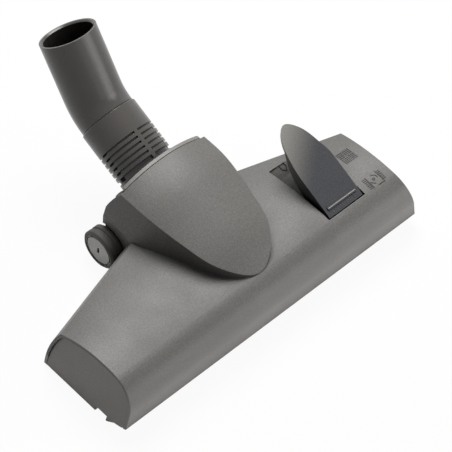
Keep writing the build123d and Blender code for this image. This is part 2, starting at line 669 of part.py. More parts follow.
def bent_tube():
    """Outlet tube with a sleeve that turns in the collar and a socket for the wand."""
    body = tube_run(COLLAR_END + JOINT_LINE, TUBE_R)
    body += neck_rod(SLEEVE_START, COLLAR_END + JOINT_LINE + 1, SLEEVE_R)
    body -= tube_run(SLEEVE_START - 1, TUBE_THROAT_R)
    path = tube_path(SLEEVE_START)
    mouth, leave = path @ 1, path % 1
    inward = Plane(origin=mouth, z_dir=-leave)
    body -= inward * Cylinder(TUBE_BORE_R, SOCKET_DEPTH, align=(Align.CENTER, Align.CENTER, Align.MIN))
    funnel = Cone(
        TUBE_BORE_R + MOUTH_CHAMFER, TUBE_BORE_R, MOUTH_CHAMFER, align=(Align.CENTER, Align.CENTER, Align.MIN)
    )
    body -= inward * funnel
    groove = neck_rod(RING_SPOT, RING_SPOT + RING_WIDTH, SLEEVE_R + 1)
    groove -= neck_rod(RING_SPOT, RING_SPOT + RING_WIDTH, RING_SEAT_R)
    return body - groove


def retaining_ring():
    """Split ring that holds the tube in the collar."""
    ring = neck_rod(RING_SPOT, RING_SPOT + RING_WIDTH, RING_R[1])
    ring -= neck_rod(RING_SPOT - 1, RING_SPOT + RING_WIDTH + 1, RING_R[0])
    gap = Plane(origin=neck_point(0), z_dir=neck_direction()) * Pos(RING_R[1], 0, 0) * Box(8, RING_SPLIT, 300)
    return ring - gap


def swivel_seal():
    """Flat ring between the spigot's end and the tube's sleeve."""
    start, end = SPIGOT_END + SEAL_FIT[0], SLEEVE_START - SEAL_FIT[1]
    return neck_rod(start, end, SLEEVE_R) - neck_rod(start - 1, end + 1, TUBE_THROAT_R)


def drum_seals():
    """Rubber strips against the drum, above it and behind it."""
    half = JOINT_HALF - JOINT_WALL - SEAM
    roof = under_crown(SHELL_WALL + JOINT_GAP + JOINT_WALL + REAR_SEAL_TRIM)
    drum = across(NECK_Y, NECK_Z, DRUM_R + DRUM_SEAL_GAP, -FAR, FAR)
    drum_top = NECK_Z + DRUM_R
    rib_y = (NECK_Y - ROOF_RIB_HALF, NECK_Y + ROOF_RIB_HALF)
    top = block(-half, half, *rib_y, drum_top - 1, drum_top + ROOF_RIB_GAP) & roof
    angle = math.radians(REAR_SEAL_ANGLE)
    seat_r = DRUM_R + REAR_SEAL_ROOM
    spot = (-half, NECK_Y + seat_r * math.cos(angle), NECK_Z + seat_r * math.sin(angle))
    pad = Plane(origin=spot, x_dir=(1, 0, 0), z_dir=(0, math.cos(angle), math.sin(angle)))
    size = REAR_SEAL_SIZE
    low = pad * Box(2 * half, size, size, align=(Align.MIN, Align.CENTER, Align.MAX))
    liner = across(NECK_Y, NECK_Z, seat_r - REAR_SEAL_TRIM, -FAR, FAR)
    return top - drum, (low & liner) - drum


def sole_plate():
    """Steel glide plate with the suction slot and a shallow bed for the thread lifter."""
    plate = block(-SOLE_HALF, SOLE_HALF, SOLE_FRONT_Y, SOLE_REAR_Y, 0, SOLE_THICK)
    outline = [(y, z - SOLE_GAP) for y, z in RAMP[1:3]]
    outline += [(RAMP[3][0] + SEAM, 0), (SOLE_REAR_Y, 0), (SOLE_REAR_Y, 8), (RAMP[0][0], 8)]
    plate &= side_prism(outline, -FAR, FAR)
    plate -= block(-SLOT_HALF, SLOT_HALF, SLOT_FRONT_Y, SLOT_REAR_Y, -5, 5)
    plate -= block(-LIFTER_HALF, LIFTER_HALF, *LIFTER_Y, -1, SOLE_THICK - LIFTER_BED)
    for x, y in SCREW_SPOTS:
        plate -= rod((x, y, -5), (0, 0, 1), SCREW_HEAD_R + SCREW_SINK, 20)
    return plate


def thread_lifter():
    """Pile strip behind the suction slot that combs up threads."""
    half, front, rear = LIFTER_HALF - SEAM, LIFTER_Y[0] + SEAM, LIFTER_Y[1] - SEAM
    return block(-half, half, front, rear, LIFTER_RISE, SOLE_THICK - LIFTER_BED)


def brush_frame():
    """Lifting frame: two bristle carriers joined by arms that cross above the suction channel."""
    half = CARRIER_WIDTH / 2
    front_y = (FRONT_BRUSH_Y - half, FRONT_BRUSH_Y + half)
    rear_y = (REAR_BRUSH_Y - half, REAR_BRUSH_Y + half)
    frame = block(-FRONT_BRUSH_HALF, FRONT_BRUSH_HALF, *front_y, *FRONT_CARRIER_Z)
    frame += block(-REAR_BRUSH_HALF, REAR_BRUSH_HALF, *rear_y, *REAR_CARRIER_Z)
    for x in ARM_XS:
        left, right = x - ARM_WIDTH / 2, x + ARM_WIDTH / 2
        frame += block(left, right, front_y[0], rear_y[1], *ARM_Z)
        frame += block(left, right, *front_y, FRONT_CARRIER_Z[0], ARM_Z[1])
        frame += block(left, right, *rear_y, REAR_CARRIER_Z[0], ARM_Z[1])
    frame += block(ARM_XS[2], ARM_XS[3], *BRIDGE_Y, *BRIDGE_Z)
    inner, outer = PEDAL_ARM_HALF + FORK_GAP, YOKE_HALF - YOKE_PLAY
    yoke = block(PEDAL_X - outer, PEDAL_X + outer, *BRIDGE_Y, BRIDGE_Z[0], ARM_PIN[1] + YOKE_TOP)
    reach = PEDAL_ARM_HALF + ARM_PIN_REACH + PIN_END_PLAY
    track = (ARM_PIN[0] - PIN_TRAVEL[0], ARM_PIN[0] + PIN_TRAVEL[1])
    rise = ARM_PIN_R + PIN_PLAY
    slot = block(PEDAL_X - reach, PEDAL_X + reach, *track, ARM_PIN[1] - rise, ARM_PIN[1] + rise)
    gap = block(PEDAL_X - inner, PEDAL_X + inner, *BRIDGE_Y, BRIDGE_Z[0] + BRIDGE_WEB, 40)
    frame = frame + yoke - slot - gap
    for x in GUIDE_XS:
        frame -= rod((x, GUIDE_Y, 0), (0, 0, 1), GUIDE_R + RUNNING_FIT, 60)
    return frame


def bristles(half, y, top_z_value):
    """One row of bristles as a thin strip."""
    width = BRISTLE_WIDTH / 2
    return block(-half + BRISTLE_END, half - BRISTLE_END, y - width, y + width, BRISTLE_TIP_Z, top_z_value)


def pedal_outline(inset=0.0):
    """Outline of the pedal from above: straight sides and a rounded tip."""
    front, tip = PEDAL_FRONT[0] + inset, PEDAL_TIP[0] - inset
    straight = PEDAL_STATIONS[0][0]
    middle = [PEDAL_X - PEDAL_TURN * (y - straight) / (tip - straight) for y, h in PEDAL_STATIONS]
    left = [(x - h + inset, y) for x, (y, h) in zip(middle, PEDAL_STATIONS)]
    right = [(x + h - inset, y) for x, (y, h) in zip(middle, PEDAL_STATIONS)]
    start, end = left[0], right[0]
    curve = Spline(*left, (PEDAL_X - PEDAL_TURN, tip), *reversed(right), tangents=((0, 1), (0, -1)))
    half = PEDAL_HALF - inset
    sides = Polyline(end, (PEDAL_X + half, front), (PEDAL_X - half, front), start)
    return make_face([curve, sides])


def pedal_under(drop):
    """Everything below the pedal's bowed top face, lowered by drop."""
    y0, z0 = PEDAL_FRONT[0] - 3, PEDAL_FRONT[1] - 1.4 - drop
    y1, z1 = PEDAL_TIP[0] + 3, PEDAL_TIP[1] + 1.4 - drop
    mid = ((y0 + y1) / 2, (z0 + z1) / 2 + PEDAL_BOW)
    x = PEDAL_X - 30
    edges = [
        ThreePointArc((x, y0, z0), (x, *mid), (x, y1, z1)),
        Line((x, y1, z1), (x, y1, 0)),
        Line((x, y1, 0), (x, y0, 0)),
        Line((x, y0, 0), (x, y0, z0)),
    ]
    return extrude(Face(Wire(edges)), amount=60, dir=(1, 0, 0))


def pedal():
    """Rocker pedal: bowed plate with tapering side skirts, pivot bosses and the lifting arm."""
    outline = pedal_outline()
    column = extrude(outline, amount=100)
    raised = column & pedal_under(-PEDAL_STEP)
    plate = raised & block(PEDAL_X - STEP_HALF, PEDAL_X + STEP_HALF, STEP_Y, STEP_Y + STEP_WIDTH, 0, 80)
    plate = (plate + (column & pedal_under(0))) - pedal_under(PEDAL_PLATE)
    side = [*SKIRT_FOOT, (SKIRT_FOOT[-1][0], 90), (SKIRT_FOOT[0][0], 90)]
    wedge = side_prism(side, PEDAL_X - 30, PEDAL_X + 30) & column & pedal_under(PEDAL_PLATE / 2)
    wedge -= extrude(pedal_outline(PEDAL_SKIRT), amount=100)
    body = plate + wedge
    left, right = PEDAL_X - PEDAL_HALF, PEDAL_X + PEDAL_HALF
    body += across(*PEDAL_PIVOT, PEDAL_BOSS_R, left, left + PEDAL_BOSS_WIDTH)
    body += across(*PEDAL_PIVOT, PEDAL_BOSS_R, right - PEDAL_BOSS_WIDTH, right)
    y, z = ARM_PIN
    eye = [(y - 2, z - ARM_EYE), (y + ARM_EYE, z - ARM_EYE), (y + ARM_EYE, z + ARM_EYE_TOP)]
    arm = side_prism([*ARM_FRONT, *eye, ARM_HEEL], PEDAL_X - PEDAL_ARM_HALF, PEDAL_X + PEDAL_ARM_HALF)
    body += arm & pedal_under(PEDAL_PLATE / 2)
    reach = PEDAL_ARM_HALF + ARM_PIN_REACH
    body += across(*ARM_PIN, ARM_PIN_R, PEDAL_X - reach, PEDAL_X + reach)
    body -= across(*PEDAL_PIVOT, PEDAL_PIN_R + RUNNING_FIT, PEDAL_X - FAR, PEDAL_X + FAR)
    return body


def pedal_pin():
    reach = WELL_HALF + WELL_WALL
    return across(*PEDAL_PIVOT, PEDAL_PIN_R, PEDAL_X - reach, PEDAL_X + reach)


def wheel():
    """Wheel body with a ring groove round its hub face and a blind slot in the middle."""
    outer = WHEEL_INNER_X + WHEEL_WIDTH
    face = outer - HUB_SINK
    body = across(WHEEL_Y, WHEEL_R, HUB_R + HUB_SINK, WHEEL_INNER_X + HUB_SINK, face)
    ring = across(WHEEL_Y, WHEEL_R, HUB_R, face - HUB_RECESS, outer + 1)
    ring -= across(WHEEL_Y, WHEEL_R, HUB_R - HUB_RING, face - HUB_RECESS, outer + 1)
    half_y, half_z = HUB_SLOT_HALF
    slot = block(outer - HUB_SLOT_DEPTH, outer + 1, WHEEL_Y - half_y, WHEEL_Y + half_y, WHEEL_R - half_z,
                 WHEEL_R + half_z)
    bore = across(WHEEL_Y, WHEEL_R, AXLE_R + RUNNING_FIT, WHEEL_INNER_X, outer - HUB_WALL)
    return body - ring - slot - bore


def tyre():
    """Tyre with two rounded ridges and a groove between them."""
    outer = WHEEL_INNER_X + WHEEL_WIDTH
    mid = (WHEEL_INNER_X + outer) / 2
    inner_r = HUB_R + HUB_SINK
    foot, top = TYRE_GROOVE_HALF
    floor = WHEEL_R - TYRE_GROOVE
    points = [(WHEEL_INNER_X, inner_r), (WHEEL_INNER_X, WHEEL_R - TYRE_ROUND)]
    points += [(WHEEL_INNER_X + TYRE_ROUND, WHEEL_R), (mid - top, WHEEL_R), (mid - foot, floor)]
    points += [(mid + foot, floor), (mid + top, WHEEL_R), (outer - TYRE_ROUND, WHEEL_R)]
    points += [(outer, WHEEL_R - TYRE_FACE_ROUND), (outer, inner_r)]
    wire = Polyline(*[(x, WHEEL_Y, WHEEL_R + r) for x, r in points], close=True)
    return revolve(make_face(wire), axis=Axis((0, WHEEL_Y, WHEEL_R), (1, 0, 0)))


def axle():
    outer = WHEEL_INNER_X + WHEEL_WIDTH
    return across(WHEEL_Y, WHEEL_R, AXLE_R, AXLE_INNER_X, outer - HUB_WALL - AXLE_END_GAP)


def housing_screws():
    """Screws driven from below through the tray into the cover's posts."""
    screws = []
    for x, y in SCREW_SPOTS:
        head_z = BASE_Z + SCREW_HEAD + SCREW_SINK
        head = rod((x, y, head_z - SCREW_HEAD), (0, 0, 1), SCREW_HEAD_R, SCREW_HEAD)
        shank = rod((x, y, head_z - 0.5), (0, 0, 1), SCREW_R, SCREW_END_Z - head_z)
        screws.append(head + shank)
    return Compound(children=screws)


def build():
    top_seal, low_seal = drum_seals()
    right_wheel, right_tyre, right_axle = wheel(), tyre(), axle()
    return {
        "top_housing": top_housing(),
        "base_housing": base_housing(),
        "suction_duct": suction_duct(),
        "joint_housing": joint_housing(),
        "sole_plate": sole_plate(),
        "rear_thread_lifter": thread_lifter(),
        "brush_frame": brush_frame(),
        "front_bristles": bristles(FRONT_BRUSH_HALF, FRONT_BRUSH_Y, FRONT_CARRIER_Z[0]),
        "rear_bristles": bristles(REAR_BRUSH_HALF, REAR_BRUSH_Y, REAR_CARRIER_Z[0]),
        "pedal": pedal(),
        "pedal_pin": pedal_pin(),
        "swivel_elbow": swivel_elbow(),
        "upper_drum_seal": top_seal,
        "lower_drum_seal": low_seal,
        "ribbed_collar": ribbed_collar(),
        "swivel_seal": swivel_seal(),
        "retaining_ring": retaining_ring(),
        "bent_tube": bent_tube(),
        "right_wheel": right_wheel,
        "right_tyre": right_tyre,
        "right_axle": right_axle,
        "left_wheel": mirrored(right_wheel),
        "left_tyre": mirrored(right_tyre),
        "left_axle": mirrored(right_axle),
        "housing_screws": housing_screws(),
    }


os.makedirs("parts", exist_ok=True)
for name, shape in build().items():
    export_step(shape, f"parts/{name}.step")
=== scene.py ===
import math
import random

import bpy
from bpy.props import FloatProperty, FloatVectorProperty, IntProperty, PointerProperty, StringProperty
from mathutils import Matrix, Vector
from mathutils.bvhtree import BVHTree


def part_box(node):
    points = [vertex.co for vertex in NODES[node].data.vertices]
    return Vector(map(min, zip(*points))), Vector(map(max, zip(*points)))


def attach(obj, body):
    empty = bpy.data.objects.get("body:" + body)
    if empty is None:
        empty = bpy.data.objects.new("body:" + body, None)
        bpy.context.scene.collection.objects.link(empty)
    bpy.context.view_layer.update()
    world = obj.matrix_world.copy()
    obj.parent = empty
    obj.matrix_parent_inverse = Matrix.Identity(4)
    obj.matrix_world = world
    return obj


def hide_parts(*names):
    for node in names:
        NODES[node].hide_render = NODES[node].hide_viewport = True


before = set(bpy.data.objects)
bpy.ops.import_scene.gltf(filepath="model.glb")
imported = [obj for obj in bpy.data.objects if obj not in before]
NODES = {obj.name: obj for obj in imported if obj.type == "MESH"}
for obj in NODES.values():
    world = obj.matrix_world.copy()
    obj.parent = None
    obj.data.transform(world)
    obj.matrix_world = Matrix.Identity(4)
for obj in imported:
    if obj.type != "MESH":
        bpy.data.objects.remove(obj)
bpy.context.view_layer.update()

bl_info = {
    "name": "Floor head dressing",
    "version": (1, 0, 0),
    "blender": (4, 5, 0),
    "location": "View3D > Sidebar > Floor head",
    "description": "Materials, bristles, signs and studio for a vacuum floor head",
    "category": "Object",
}

MM = 0.001
# The scale of a pattern counts its cells in a metre.
PER_METRE = 1000.0

# Camera, fitted to the photograph: angles in degrees, lengths in millimetres, focal length in pixels.
CAMERA_AZIMUTH = -47.879
CAMERA_ELEVATION = 52.702
CAMERA_ROLL = 5.623
CAMERA_DISTANCE = 1800.0
CAMERA_SHIFT = (1.342, 36.536)
FOCAL_PIXELS = 2720.321
PICTURE_PIXELS = 452
SENSOR_WIDTH = 36.0
CLIP_END = 20.0

# Studio, in metres. Each light panel faces the origin, and the floor lies just under the sole.
LIGHT_PLACES = {
    "key": (0.4, 0.6, 1.15),
    "side": (1.35, -0.1, 0.3),
    "front": (0.8, -1.0, 0.5),
    "low": (0.1, -1.35, 0.22),
}
FLOOR_HALF = 4.0
FLOOR_DROP = 0.2 * MM
# Share of plain white in the floor that the camera sees. The rest is paper that takes the shadow.
FLOOR_WHITE = 0.94

# Moulded plastic. Nearly all of a noise pattern lies within its span.
NOISE_SPAN = (0.3, 0.7)
COOLING_MM = 30.0
COOLING_SHARE = 0.35
COOLING_TONE = 0.93
# Painted light: its darker grain flecks take this share of its colour.
PAINTED_LIGHT_GRAIN_TONE = 0.9
PIT_WIDTH = 1.6
PIT_DEPTH = 0.6
GLOSS_SWING = 0.04
# Painted highlight: how much paler the colour is painted along rounded edges.
EDGE_HIGHLIGHT_TONE = 1.9
# A face is at an edge where its rounded normal turns away from the true one by this cosine.
EDGE_COSINES = (0.99, 0.85)
# Share of open sky at which the painted shade of a recess is as dark as it gets, and at which a face is
# open.
RECESS_SPAN = (0.4, 0.85)

# Rubber: pores and patches of dust.
PORE_MM = 0.5
DUST_MM = 6.0
DUST_SPAN = (0.45, 0.75)
DUST_SHARE = 0.25

# Steel: grain width, and how far rolling draws it out along X.
STEEL_GRAIN_MM = 0.25
STEEL_ROUGH = (0.24, 0.38)
ROLLED_STRETCH = (0.06, 1.0, 1.0)
NO_STRETCH = (1.0, 1.0, 1.0)

# Fibres: streaks along them, strands with a narrow tip, and tufts that fill most of their carrier.
STREAK_MM = 0.6
STREAK_SPAN = (0.35, 0.65)
STREAK_SHARE = 0.3
TIP_WIDTH = 0.6
BEND_SHARE = 0.35
TUFT_FILL = 0.8
TUFT_UNEVEN = 0.5 * MM
TUFT_LEAN = 0.35 * MM
PILE_PITCH = 0.42 * MM
PILE_WIDTH = 0.3 * MM
PILE_UNEVEN = 0.15 * MM
PILE_LEAN = 0.2 * MM
PILE_SEED = 7

# Raised lines: a cross-section across in widths and up in heights, with its feet sunk in the face.
STROKE_SECTION = ((-0.5, -0.3), (-0.36, 1.0), (0.36, 1.0), (0.5, -0.3))
STROKE_STEP = 1.2 * MM
RAY_TOP = 0.2

# Signs on the cover, in millimetres from above.
CARPET_SIGN = (110.9, 1.2)
WEAVE_BLOCK = 5.7
WEAVE_LINES = 4
WEAVE_GAP = 0.3
HARD_FLOOR_SIGN = (109.9, -24.9)
LEFT_COMB = {"x": 105.6, "y": -25.5, "reach": -3.2, "length": 9.6, "teeth": 7}
RIGHT_COMB = {"x": 114.9, "y": -25.1, "reach": 2.7, "length": 8.4, "teeth": 6}
SWIRL_R = 3.3
SWIRL_TOP = (95, -10)
SWIRL_FOOT = (187, 253)
DOT_R = 0.9
DOT_TURN = (40, 400)
FLOOR_LINE = ((109.4, -30.3), (115.4, -30.3))
PEDAL_ARROW = ((77.2, 24.6), (76.5, 27.0), (72.5, 26.8), (72.9, 23.3), (75.4, 21.4))

# Grip on the pedal, in millimetres: lines counted from its front edge, and the crest of its step.
GRIP_LINES = 4
GRIP_FIRST = 1.6
GRIP_PITCH = 0.95
GRIP_HALF = 12.4
GRIP_WIDTH = 0.45 * MM
GRIP_RISE = 0.2 * MM
# The crest of the step carries a painted highlight line.
STEP_TOP_Y = -24.2
STEP_HALF = 12.4
STEP_WIDTH = 0.75 * MM
STEP_RISE = 0.12 * MM

SMOOTH = {"interpolation_type": "SMOOTHSTEP"}


def linear(colour):
    """An sRGB hex string as linear RGBA."""
    channels = [int(colour[i:i + 2], 16) / 255 for i in (1, 3, 5)]
    return [c / 12.92 if c <= 0.04045 else ((c + 0.055) / 1.055) ** 2.4 for c in channels] + [1.0]


def toned(colour, factor):
    """A linear colour made darker or lighter by a factor."""
    return [min(1.0, c * factor) for c in colour[:3]] + [1.0]


def add(tree, kind, *ordered, out=None, **named):
    """Adds one shader node and gives an output of it: the one that out names, or the first in use.

    Ordered values fill the sockets in use from the first. A capitalised name is a socket, with an
    underscore for each blank, and any other name is a setting. A value that is an output is linked.
    """
    node = tree.nodes.new(kind)
    for name, value in named.items():
        if name[0].islower():
            setattr(node, name, value)
    sockets = list(zip([socket for socket in node.inputs if socket.enabled], ordered))
    for name, value in named.items():
        if name[0].isupper():
            sockets.append((node.inputs[name.replace("_", " ")], value))
    for socket, value in sockets:
        if isinstance(value, bpy.types.NodeSocket):
            tree.links.new(value, socket)
        else:
            socket.default_value = value
    if out:
        return node.outputs[out]
    return next((output for output in node.outputs if output.enabled), None)


def new_material(name):
    material = bpy.data.materials.new(name)
    material.use_nodes = True
    material.node_tree.nodes.clear()
    return material, material.node_tree


def recess_shade(tree, reach_mm, darkest):
    """Painted shade: one on open faces, falling to darkest deep in wells, slots and bores."""
    sky = add(tree, "ShaderNodeAmbientOcclusion", Distance=reach_mm * MM, samples=6, out="AO")
    return add(tree, "ShaderNodeMapRange", sky, *RECESS_SPAN, darkest, 1.0, **SMOOTH)


def edge_share(tree, rounded):
    """Where the painted edge highlight goes: zero on flats, rising to one at the edges, where the rounded
    normal leaves the true one.
    """
    true = add(tree, "ShaderNodeNewGeometry", out="True Normal")
    match = add(tree, "ShaderNodeVectorMath", true, rounded, operation="DOT_PRODUCT")
    return add(tree, "ShaderNodeMapRange", match, *EDGE_COSINES, **SMOOTH)


def faded_tone(tree, tone, grain_share, place, fade):
    """A tone that passes into a second colour, a painted light, along a direction, between two distances in
    millimetres.
    """
    direction, start_mm, end_mm, colour = fade
    second = linear(colour)
    along = add(tree, "ShaderNodeVectorMath", place, direction, operation="DOT_PRODUCT")
    share = add(tree, "ShaderNodeMapRange", along, start_mm * MM, end_mm * MM, **SMOOTH)
    painted_light = add(tree, "ShaderNodeMix", grain_share, toned(second, PAINTED_LIGHT_GRAIN_TONE), second, data_type="RGBA")
    return add(tree, "ShaderNodeMix", share, tone, painted_light, data_type="RGBA")


def moulded_plastic(name, colour, rough, grain_mm, depth_mm, edge_mm, mottle=0.12, reach_mm=14.0,
                    darkest=0.3, fade=None):
    """Injection-moulded plastic from a spark-eroded mould.

    The eroded grain breaks the highlight into fine sparkle, the slow mottle is uneven gloss from
    cooling, the rounded edges get a painted highlight, a paler line in the colour, and recesses
    get painted shade, their colour darkened where little open sky reaches.
    """
    material, tree = new_material(name)
    place = add(tree, "ShaderNodeTexCoord", out="Object")
    grain = add(tree, "ShaderNodeTexNoise", Vector=place, Scale=PER_METRE / grain_mm, Detail=3.0,
                Roughness=0.6)
    cooling = add(tree, "ShaderNodeTexNoise", Vector=place, Scale=PER_METRE / COOLING_MM, Detail=2.0)
    pits = add(tree, "ShaderNodeTexVoronoi", Vector=place, Scale=PER_METRE / (grain_mm * PIT_WIDTH))

    base = linear(colour)
    grain_share = add(tree, "ShaderNodeMapRange", grain, *NOISE_SPAN, **SMOOTH)
    cooling_share = add(tree, "ShaderNodeMapRange", cooling, *NOISE_SPAN, 0.0, COOLING_SHARE, **SMOOTH)
    dark, light = toned(base, 1.0 - mottle), toned(base, 1.0 + mottle)
    tone = add(tree, "ShaderNodeMix", grain_share, dark, light, data_type="RGBA")
    tone = add(tree, "ShaderNodeMix", cooling_share, tone, toned(base, COOLING_TONE), data_type="RGBA")
    if fade is not None:
        tone = faded_tone(tree, tone, grain_share, place, fade)
    rounded = add(tree, "ShaderNodeBevel", Radius=edge_mm * MM, samples=4)
    edges = edge_share(tree, rounded)
    # Painted highlight: the colour turns paler along the rounded edges.
    tone = add(tree, "ShaderNodeMix", edges, tone, toned(base, EDGE_HIGHLIGHT_TONE), data_type="RGBA")
    # Painted shade: the colour is darkened in recesses, where little open sky reaches.
    tone = add(tree, "ShaderNodeVectorMath", tone, recess_shade(tree, reach_mm, darkest), operation="SCALE")

    normal = add(tree, "ShaderNodeBump", Height=grain, Distance=depth_mm * MM, Strength=1.0, Normal=rounded)
    normal = add(tree, "ShaderNodeBump", Height=pits, Distance=depth_mm * PIT_DEPTH * MM, Strength=1.0,
                 Normal=normal)
    gloss = add(tree, "ShaderNodeMapRange", cooling, *NOISE_SPAN, rough - GLOSS_SWING, rough + GLOSS_SWING,
                **SMOOTH)
    shader = add(tree, "ShaderNodeBsdfPrincipled", Base_Color=tone, Roughness=gloss, Normal=normal,
                 IOR=1.46)
    add(tree, "ShaderNodeOutputMaterial", Surface=shader)
    return material


def moulded_rubber(name, colour, dust_colour):
    """Moulded rubber: matt, with dust in its pores that lifts the dark tone a little."""
    material, tree = new_material(name)
    place = add(tree, "ShaderNodeTexCoord", out="Object")
    pores = add(tree, "ShaderNodeTexNoise", Vector=place, Scale=PER_METRE / PORE_MM, Detail=4.0,
                Roughness=0.7)
    dust = add(tree, "ShaderNodeTexNoise", Vector=place, Scale=PER_METRE / DUST_MM, Detail=3.0)
    share = add(tree, "ShaderNodeMapRange", dust, *DUST_SPAN, 0.0, DUST_SHARE, **SMOOTH)
    tone = add(tree, "ShaderNodeMix", share, linear(colour), linear(dust_colour), data_type="RGBA")
    rounded = add(tree, "ShaderNodeBevel", Radius=0.25 * MM, samples=4)
    normal = add(tree, "ShaderNodeBump", Height=pores, Distance=0.06 * MM, Strength=1.0, Normal=rounded)
    shader = add(tree, "ShaderNodeBsdfPrincipled", Base_Color=tone, Roughness=0.72, Normal=normal, IOR=1.52)
    add(tree, "ShaderNodeOutputMaterial", Surface=shader)
    return material


def worked_steel(name, colour, light_colour, stretch):
    """Rolled or drawn steel: fine lines along the direction of work stretch its highlight."""
    material, tree = new_material(name)
    place = add(tree, "ShaderNodeTexCoord", out="Object")
    lines = add(tree, "ShaderNodeMapping", Vector=place, Scale=stretch)
    grain = add(tree, "ShaderNodeTexNoise", Vector=lines, Scale=PER_METRE / STEEL_GRAIN_MM, Detail=2.0)
    share = add(tree, "ShaderNodeMapRange", grain, *NOISE_SPAN, **SMOOTH)
    tone = add(tree, "ShaderNodeMix", share, linear(colour), linear(light_colour), data_type="RGBA")
    rough = add(tree, "ShaderNodeMapRange", grain, *NOISE_SPAN, *STEEL_ROUGH, **SMOOTH)
    rounded = add(tree, "ShaderNodeBevel", Radius=0.2 * MM, samples=4)
    normal = add(tree, "ShaderNodeBump", Height=grain, Distance=0.01 * MM, Strength=1.0, Normal=rounded)
    shader = add(tree, "ShaderNodeBsdfPrincipled", Base_Color=tone, Metallic=1.0, Roughness=rough,
                 Normal=normal)
    add(tree, "ShaderNodeOutputMaterial", Surface=shader)
    return material


def dyed_nylon(name, root, tip, low_z, high_z):
    """Dyed nylon fibre: painted shade darkens it between the fibres towards the root, with a light, glossy
    tip.
    """
    material, tree = new_material(name)
    place = add(tree, "ShaderNodeTexCoord", out="Object")
    height = add(tree, "ShaderNodeSeparateXYZ", Vector=place, out="Z")
    fall = add(tree, "ShaderNodeMapRange", height, high_z, low_z, **SMOOTH)
    streak = add(tree, "ShaderNodeTexNoise", Vector=place, Scale=PER_METRE / STREAK_MM, Detail=2.0)
    share = add(tree, "ShaderNodeMapRange", streak, *STREAK_SPAN, 0.0, STREAK_SHARE, **SMOOTH)
    # Painted shade: darker at the root, where the fibres crowd, and paler towards the tip.
    tone = add(tree, "ShaderNodeMix", fall, linear(root), linear(tip), data_type="RGBA")
    tone = add(tree, "ShaderNodeMix", share, tone, linear(tip), data_type="RGBA")
    shader = add(tree, "ShaderNodeBsdfPrincipled", Base_Color=tone, Roughness=0.42, IOR=1.53)
    add(tree, "ShaderNodeOutputMaterial", Surface=shader)
    return material


def background_rays(tree):
    """One for the rays that see the background: the camera's, reflections and what glass lets through."""
    seen = add(tree, "ShaderNodeLightPath", out="Is Camera Ray")
    for name in ("Is Glossy Ray", "Is Transmission Ray"):
        ray = add(tree, "ShaderNodeLightPath", out=name)
        seen = add(tree, "ShaderNodeMath", seen, ray, operation="MAXIMUM")
    return seen


def dress(material, *names):
    """Gives CAD nodes a material in place of their own."""
    for name in names:
        slots = NODES[name].data.materials
        slots.clear()
        slots.append(material)


def mesh_object(name, verts, faces, material, body):
    """A new piece that rides on a body."""
    mesh = bpy.data.meshes.new(name)
    mesh.from_pydata(verts, [], faces)
    mesh.update()
    mesh.materials.append(material)
    piece = bpy.data.objects.new(name, mesh)
    bpy.context.scene.collection.objects.link(piece)
    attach(piece, body)
    return piece


class PlasticSettings(bpy.types.PropertyGroup):
    """Colours as sRGB hex, and the grain of the mould.

    Real eroded grain is about 0.15 mm wide, too fine to show in the render, so it is drawn coarser.
    """
    shell_colour: StringProperty(
        name="Shell colour", description="Grained cover, sRGB hex", default="#63615e")
    # Painted light: the front wall's colour is made paler to stand for the light it gets.
    front_light_colour: StringProperty(
        name="Front colour", description="Scuffed front wall, sRGB hex", default="#908d8a")
    base_colour: StringProperty(
        name="Base colour", description="Tray, sRGB hex", default="#908d89")
    joint_colour: StringProperty(
        name="Joint colour", description="Housing of the joint, sRGB hex", default="#7f7c78")
    neck_colour: StringProperty(
        name="Neck colour", description="Collar and tube, sRGB hex", default="#4c4946")
    pedal_colour: StringProperty(
        name="Pedal colour", description="Pedal, sRGB hex", default="#37383c")
    # Painted highlight: the pale colour the pedal takes towards its tip.
    pedal_tip_highlight_colour: StringProperty(
        name="Worn colour", description="Worn tip of the pedal, sRGB hex", default="#8f8d87")
    # Painted highlight: the pale line along the crest of the pedal's step.
    step_highlight_colour: StringProperty(
        name="Step colour", description="Polished crest on the pedal, sRGB hex", default="#a4a3a0")
    # Painted light: the wheels are the cover's grey plastic made paler, to stand for light on their shaded
    # outer faces.
    wheel_colour: StringProperty(
        name="Wheel colour", description="Wheel bodies, sRGB hex", default="#bdbbb7")
    inner_colour: StringProperty(
        name="Inner colour", description="Inner parts, sRGB hex", default="#1f1e1d")
    grain: FloatProperty(
        name="Grain", description="Size of the eroded grain in mm", default=0.95, min=0.1, max=3.0)
    grain_depth: FloatProperty(
        name="Grain depth", description="Depth of the grain in mm", default=0.08, min=0.0, max=0.5)


class RubberSettings(bpy.types.PropertyGroup):
    rubber_colour: StringProperty(
        name="Rubber colour", description="Tyres and seals, sRGB hex", default="#403e3b")
    dust_colour: StringProperty(
        name="Dust colour", description="Dust in the pores, sRGB hex", default="#55524e")


class SteelSettings(bpy.types.PropertyGroup):
    steel_colour: StringProperty(
        name="Steel colour", description="Hollows of the grain, sRGB hex", default="#a9a9a8")
    shine_colour: StringProperty(
        name="Shine colour", description="Ridges of the grain, sRGB hex", default="#cbcbca")


